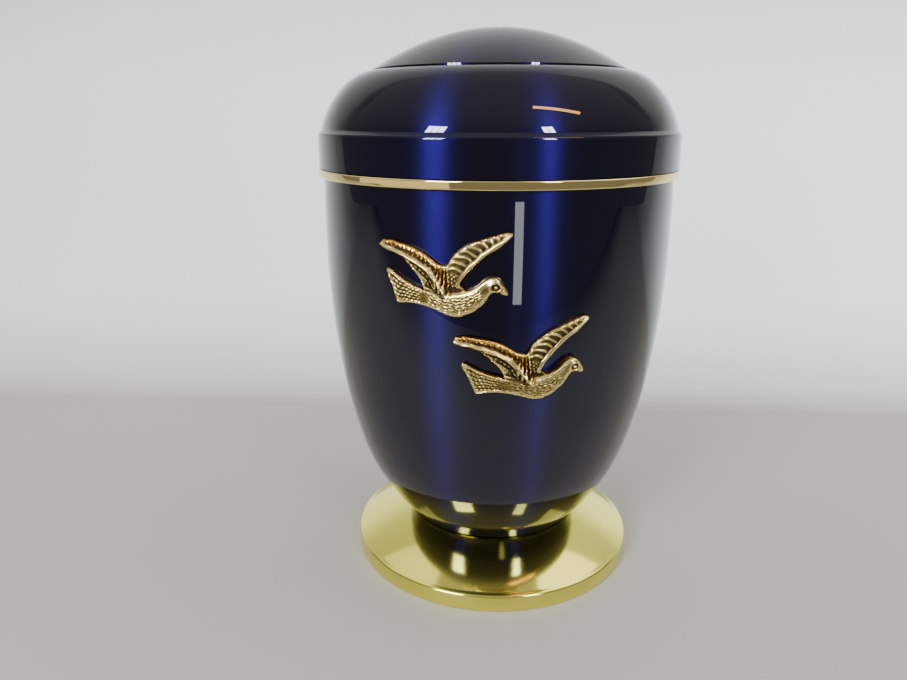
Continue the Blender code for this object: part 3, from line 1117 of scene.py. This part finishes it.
    def build(self, name: str) -> bpy.types.Object:
        """Models the flat casting: a fine grid cut to the outline, given a back and raised into the relief.

        Args:
            name: The new object's name.

        Returns:
            The flat casting in millimetres of its own, with its patina attribute, which also holds painted
            highlights and painted shade.
        """
        outline = smooth_curve(self.outline, 6, closed=True)
        low, high = outline.min(axis=0) - self.pitch, outline.max(axis=0) + self.pitch
        cells = np.ceil((high - low) / self.pitch).astype(int)
        size, middle = cells * self.pitch, low + cells * self.pitch / 2
        bpy.ops.object.select_all(action="DESELECT")
        bpy.ops.mesh.primitive_grid_add(x_subdivisions=int(cells[0]), y_subdivisions=int(cells[1]), size=1)
        piece = bpy.context.object
        piece.name = name
        piece.data.name = name
        bpy.ops.object.mode_set(mode="EDIT")
        bpy.ops.mesh.select_all(action="SELECT")
        bpy.ops.transform.resize(value=(float(size[0]), float(size[1]), 1))
        bpy.ops.transform.translate(value=(float(middle[0]), float(middle[1]), 0))
        bpy.ops.mesh.select_all(action="DESELECT")
        bpy.ops.object.mode_set(mode="OBJECT")
        mesh = piece.data
        flat = read_points(mesh)[:, :2]
        corners = np.empty(len(mesh.loops), int)
        mesh.loops.foreach_get("vertex_index", corners)
        centres = flat[corners.reshape(-1, 4)].mean(axis=1)
        mesh.polygons.foreach_set("select", ~inside(centres, outline))
        bpy.ops.object.mode_set(mode="EDIT")
        bpy.ops.mesh.select_mode(type="FACE")
        bpy.ops.mesh.delete(type="FACE")
        bpy.ops.mesh.select_mode(type="VERT")
        bpy.ops.object.mode_set(mode="OBJECT")
        self.settle_edge(piece, outline)
        self.raise_relief(piece, low, cells)
        return piece

    def settle_edge(self, piece: bpy.types.Object, outline: np.ndarray) -> None:
        """Moves the trimmed grid's edge onto the outline.

        Args:
            piece: The trimmed grid.
            outline: The smooth outline.
        """
        mesh = piece.data
        places = read_points(mesh)
        pairs = np.empty(len(mesh.edges) * 2, int)
        mesh.edges.foreach_get("vertices", pairs)
        keys = {edge: 0 for edge in map(tuple, np.sort(pairs.reshape(-1, 2), axis=1))}
        for polygon in mesh.polygons:
            for key in polygon.edge_keys:
                keys[key] += 1
        border = np.unique([edge for edge, uses in keys.items() if uses == 1])
        distance, _, _, foot = nearest(places[border, :2], outline, closed=True)
        places[border, :2] = foot
        write_points(mesh, places)
        log.info("%s: %d edge points settled, by up to %.2f mm", piece.name, len(border), distance.max())

    def raise_relief(self, piece: bpy.types.Object, low: np.ndarray, cells: np.ndarray) -> None:
        """Gives the sheet its back, raises its front, and keeps how much each place stands out, with painted
        highlights and painted shade added, as patina.

        Args:
            piece: The trimmed sheet.
            low: The grid's lowest corner.
            cells: How many cells the grid had each way.
        """
        solidify = piece.modifiers.new("Back", "SOLIDIFY")
        solidify.thickness = self.back
        solidify.offset = -1.0
        apply_modifiers(piece)
        mesh = piece.data
        places = read_points(mesh)
        front = places[:, 2] > -self.back / 2
        across, up = (low[axis] + self.pitch * np.arange(cells[axis] + 1) for axis in range(2))
        grid = np.array(np.meshgrid(across, up, indexing="ij")).reshape(2, -1).T
        field = self.height(grid).reshape(cells[0] + 1, cells[1] + 1)
        broad = field.copy()
        for axis in (0, 1, 0, 1):
            shifts = range(-self.patina_reach, self.patina_reach + 1)
            broad = sum(np.roll(broad, shift, axis) for shift in shifts) / len(shifts)
        index = np.clip(np.rint((places[:, :2] - low) / self.pitch).astype(int), 0, cells)
        spots = index[:, 0], index[:, 1]
        rubbing_and_painted_light = self.rubbing_and_painted_light(grid).reshape(field.shape)
        # The patina: dark in the recesses and bright on what stands out, plus the painted highlights and
        # painted shade of the rubbing.
        relief_and_painted_light = np.clip(0.48 + 1.9 * (field - broad) + rubbing_and_painted_light, 0, 1)[spots]
        tarnish = self.tarnish(grid).reshape(field.shape)[spots]
        height = field[spots]
        settled = np.abs(places[:, :2] - low - index * self.pitch).max(axis=1) > 0.01 * self.pitch
        height[settled] = self.height(places[settled, :2])
        places[:, 2] = np.where(front, height, 0.0)
        write_points(mesh, places)
        for name, values in (("patina_and_painted_light", relief_and_painted_light), ("tarnish", tarnish)):
            attribute = mesh.attributes.new(name, "FLOAT", "POINT")
            attribute.data.foreach_set("value", np.where(front, values, 0.3))


@dataclass
class Dove:
    """One dove in its place on the body: the casting bent round the urn."""

    name: str
    node: str
    turn: float
    depth: float
    tilt: float
    gap: float = 0.3 * MM
    crease: float = 60

    def build(self, casting: bpy.types.Object, body: Body, brass: bpy.types.Material) -> bpy.types.Object:
        """Copies the casting, tilts it, bends it round the body and dresses it.

        Args:
            casting: The flat casting.
            body: The body that it lies on.
            brass: Its finish.

        Returns:
            The piece.
        """
        select_only(casting)
        bpy.ops.object.duplicate(linked=False)
        piece = bpy.context.object
        piece.name = self.name
        piece.data.name = self.name
        mesh = piece.data
        flat = read_points(mesh) * MM
        lean = math.radians(self.tilt)
        across = flat[:, 0] * math.cos(lean) - flat[:, 1] * math.sin(lean)
        up = flat[:, 0] * math.sin(lean) + flat[:, 1] * math.cos(lean)
        centre = body.mouth - self.depth
        height = centre + up
        radius = body.radius(height) + self.gap + flat[:, 2]
        angle = math.radians(self.turn) + across / float(body.radius(centre))
        bent = np.column_stack([radius * np.sin(angle), -radius * np.cos(angle), height])
        write_points(mesh, bent)
        mesh.materials.clear()
        mesh.materials.append(brass)
        shade(piece, self.crease)
        hand_over(piece, self.node)
        return piece


class Audience(Enum):
    """Which pieces a panel of light reaches."""

    LACQUERED = "lacquered"
    OTHERS = "others"
    BANDS = "bands"


@dataclass(frozen=True)
class Panel:
    """A soft rectangular light that faces the urn. In metres and degrees."""

    azimuth: float
    elevation: float
    distance: float
    size: Point
    colour: Colour
    radiance: float
    reaches: Audience
    roll: float = 0.0
    aim_height: float = 0.1

    def hang(self, reached: bpy.types.Collection) -> None:
        """Hangs the light in its place.

        Args:
            reached: The only pieces that it lights.
        """
        around, over = math.radians(self.azimuth), math.radians(self.elevation)
        way = Vector((math.sin(around) * math.cos(over), -math.cos(around) * math.cos(over), math.sin(over)))
        bpy.ops.object.light_add(type="AREA", location=way * self.distance + Vector((0, 0, self.aim_height)))
        light = bpy.context.object
        light.data.shape = "RECTANGLE"
        light.data.size, light.data.size_y = self.size
        light.data.color = self.colour
        light.data.energy = self.radiance * math.pi * self.size[0] * self.size[1]
        faced = way.to_track_quat("Z", "Y") @ Quaternion((0, 0, 1), math.radians(self.roll))
        light.rotation_euler = faced.to_euler()
        light.visible_camera = False
        light.light_linking.receiver_collection = reached


DAYLIGHT = (0.86, 0.92, 1.0)

# The lacquer's narrow bright panels draw its two streaks, and the low one is the pale stripe beside the
# upper dove. The thin orange ones are the lamp's.
PANELS = (
    Panel(-58, -3, 1.6, (1.9, 0.7), (1.0, 0.90, 0.72), 0.70, Audience.BANDS),
    *(Panel(azimuth, 20, 1.8, (0.105, 0.76), DAYLIGHT, 60.0, Audience.LACQUERED)
      for azimuth in (-41.6, -37.5, -33.4)),
    *(Panel(azimuth, 20, 1.8, (0.09, 0.76), DAYLIGHT, 72.0, Audience.LACQUERED)
      for azimuth in (28.6, 32.2)),
    Panel(13.3, -4.8, 0.95, (0.085, 0.25), (0.90, 0.95, 1.0), 6.5, Audience.LACQUERED),
    Panel(-32, 22, 1.8, (0.60, 0.80), (0.95, 0.97, 1.0), 23.0, Audience.OTHERS),
    Panel(33, 24, 1.8, (0.30, 0.80), (0.85, 0.93, 1.0), 14.0, Audience.OTHERS),
    Panel(45, 52, 1.14, (0.44, 0.05), (1.0, 0.50, 0.11), 30.0, Audience.LACQUERED, -30),
    Panel(45, 60, 1.14, (0.48, 0.05), (1.0, 0.66, 0.25), 11.0, Audience.OTHERS),
    Panel(100, 50, 1.9, (1.5, 1.3), (1.0, 0.98, 0.94), 2.0, Audience.OTHERS),
    Panel(-110, 50, 1.9, (1.4, 1.2), (1.0, 0.98, 0.95), 0.9, Audience.OTHERS),
)


@dataclass
class Studio:
    """The pale floor, the soft lights and the camera at the photograph's angle. In metres."""

    floor_colour: Colour = (0.49, 0.47, 0.43)
    floor_width: float = 4.4
    front_edge: float = -0.44
    full_paint: float = -0.16
    # How dark the painted shade at the floor's front edge is, as a share of the floor's colour.
    front_shade_share: float = 0.2
    floor_roughness: float = 0.6
    wall_place: float = 0.7
    wall_height: float = 1.9
    sweep_radius: float = 0.30
    wall_glow: Colour = (1.0, 1.13, 1.18)
    top_glow: Colour = (0.25, 0.28, 0.29)
    glow_strength: float = 1.14
    glow_rise: Point = (0.2, 2.2)
    glow_width: Point = (-2.0, 2.0)
    glow_up: Line = ((0.03, 0.38), (0.08, 0.62), (0.17, 1.0), (0.40, 1.0), (0.55, 0.33))
    glow_across: Line = ((0.10, 0.14), (0.36, 0.66), (0.64, 1.0), (0.90, 0.25))
    room: float = 0.22
    ceiling: float = 0.55
    room_tint: Colour = (1.0, 0.98, 0.96)
    camera_place: tuple[float, float, float] = (0.0, -0.40534, 0.24845)
    camera_yaw: float = -0.0579
    camera_pitch: float = 0.2993
    focal_pixels: float = 733.5
    frame_width: float = 907.0

    def sweep(self) -> bpy.types.Object:
        """Adds the floor, which curves up into the lit backdrop.

        Returns:
            The floor.
        """
        bpy.ops.object.select_all(action="DESELECT")
        bpy.ops.mesh.primitive_plane_add(size=1, location=(0, 0, 0))
        floor = bpy.context.object
        floor.name = "floor"
        depth = self.wall_place - self.front_edge
        bpy.ops.object.mode_set(mode="EDIT")
        bpy.ops.transform.resize(value=(self.floor_width, depth, 1))
        bpy.ops.transform.translate(value=(0, self.front_edge + depth / 2, 0))
        bpy.ops.mesh.select_all(action="DESELECT")
        bpy.ops.object.mode_set(mode="OBJECT")
        for edge in floor.data.edges:
            edge.select = all(floor.data.vertices[index].co.y > 0 for index in edge.vertices)
        bpy.ops.object.mode_set(mode="EDIT")
        bpy.ops.mesh.select_mode(type="EDGE")
        bpy.ops.mesh.extrude_region_move(TRANSFORM_OT_translate={"value": (0, 0, self.wall_height)})
        bpy.ops.mesh.select_mode(type="VERT")
        bpy.ops.object.mode_set(mode="OBJECT")
        bevel = floor.modifiers.new("Sweep", "BEVEL")
        bevel.width, bevel.segments, bevel.limit_method = self.sweep_radius, 16, "ANGLE"
        apply_modifiers(floor)
        shade(floor, 60)
        floor.data.materials.append(self.backdrop())
        return floor

    def backdrop(self) -> bpy.types.Material:
        """The floor's matt paint, darkened towards its front edge with painted shade for the dark room in
        front, and the glow of the lit backdrop.

        Returns:
            The material.
        """
        made = MaterialNodes("floor")
        split = made.add("ShaderNodeSeparateXYZ", {0: made.place()}).outputs
        # Painted shade: the floor darkens to a fifth of its colour towards the front edge and stands for the
        # dark room in front, which the lacquer reflects.
        nearness = made.mapped(split["Y"], (self.front_edge, self.full_paint), curve="SMOOTHSTEP")
        front = (*scaled(self.floor_colour, self.front_shade_share), 1.0)
        paint_and_front_shade = made.add("ShaderNodeMix", {"Factor": nearness, "A": front, "B": (*self.floor_colour, 1.0)},
                         data_type="RGBA")
        up = made.mapped(made.calculate("ADD", split["Y"], split["Z"]), self.glow_rise)
        rising = [(at, scaled(self.wall_glow, share)) for at, share in self.glow_up]
        glow = made.ramp(up, [(0.0, (0.0, 0.0, 0.0)), *rising, (1.0, self.top_glow)])
        across = made.mapped(split["X"], self.glow_width)
        aside = made.ramp(across, [(at, (tone, tone, tone)) for at, tone in self.glow_across])
        lit = made.add("ShaderNodeVectorMath", {0: glow, 1: aside}, operation="MULTIPLY")
        made.fill(made.shader, {
            "Roughness": self.floor_roughness, "Base Color": paint_and_front_shade.outputs["Result"],
            "Emission Color": lit.outputs[0], "Emission Strength": self.glow_strength,
        })
        return made.material

    def air(self) -> None:
        """Adds the room's own faint glow, brighter overhead."""
        world = bpy.data.worlds.new("room")
        bpy.context.scene.world = world
        world.use_nodes = True
        made = Nodes(world.node_tree)
        way = made.add("ShaderNodeTexCoord").outputs["Generated"]
        rise = made.add("ShaderNodeSeparateXYZ", {0: way}).outputs["Z"]
        strength = made.mapped(rise, (0.05, 0.9), (self.room, self.ceiling))
        made.fill(made.tree.nodes["Background"], {"Color": (*self.room_tint, 1.0), "Strength": strength})

    def camera(self) -> None:
        """Adds the camera at the photograph's place."""
        lens = bpy.data.cameras.new("camera")
        seen = bpy.data.objects.new("camera", lens)
        bpy.context.scene.collection.objects.link(seen)
        lens.sensor_width = 36.0
        lens.lens = self.focal_pixels / self.frame_width * lens.sensor_width
        lens.clip_start = 0.01
        seen.location = self.camera_place
        level = math.cos(self.camera_pitch)
        forward = Vector((math.sin(self.camera_yaw) * level, math.cos(self.camera_yaw) * level,
                          -math.sin(self.camera_pitch)))
        seen.rotation_euler = forward.to_track_quat("-Z", "Y").to_euler()
        bpy.context.scene.camera = seen

    def build(self, lit: dict[Audience, tuple[bpy.types.Object, ...]]) -> None:
        """Sets the stage, its lights and the camera.

        Args:
            lit: The pieces that each kind of panel reaches. The floor joins the others.
        """
        floor = self.sweep()
        reached = {}
        for audience, pieces in lit.items():
            reached[audience] = bpy.data.collections.new(f"lit_{audience.value}")
            for piece in pieces:
                reached[audience].objects.link(piece)
        reached[Audience.OTHERS].objects.link(floor)
        for panel in PANELS:
            panel.hang(reached[panel.reaches])
        self.air()
        self.camera()


def main() -> None:
    """Builds the urn's pieces in order and sets the stage."""
    logging.basicConfig(level=logging.INFO, format="%(name)s: %(message)s")
    marks = turning_marks()
    lacquer = LacquerFinish().build(marks)
    bare = PolishedFinish("bare_spun_metal", (0.56, 0.57, 0.58), 0.34, 0.12, 0.15, 1800.0).build(marks)
    gold = PolishedFinish("gold", (0.84, 0.76, 0.14), 0.11).build(marks)
    trim = PolishedFinish("polished_brass", (0.93, 0.74, 0.30), 0.05).build(marks)
    antique = AntiqueBrassFinish().build()
    base = Base().build(gold)
    shell = Body()
    body = shell.build(lacquer, bare)
    band = TrimBand().build(trim)
    lid = Lid().build(lacquer, bare)
    casting = DoveCasting().build("dove_casting")
    doves = [dove.build(casting, shell, antique) for dove in (
        Dove("upper_dove", "dove_upper", turn=-12.7, depth=36.7 * MM, tilt=0.0),
        Dove("lower_dove", "dove_lower", turn=10.0, depth=76.6 * MM, tilt=3.2),
    )]
    bpy.data.objects.remove(casting, do_unlink=True)
    Studio().build({
        Audience.LACQUERED: (body, lid),
        Audience.OTHERS: (base, band, *doves),
        Audience.BANDS: (band,),
    })


if __name__ == "__main__":
    main()
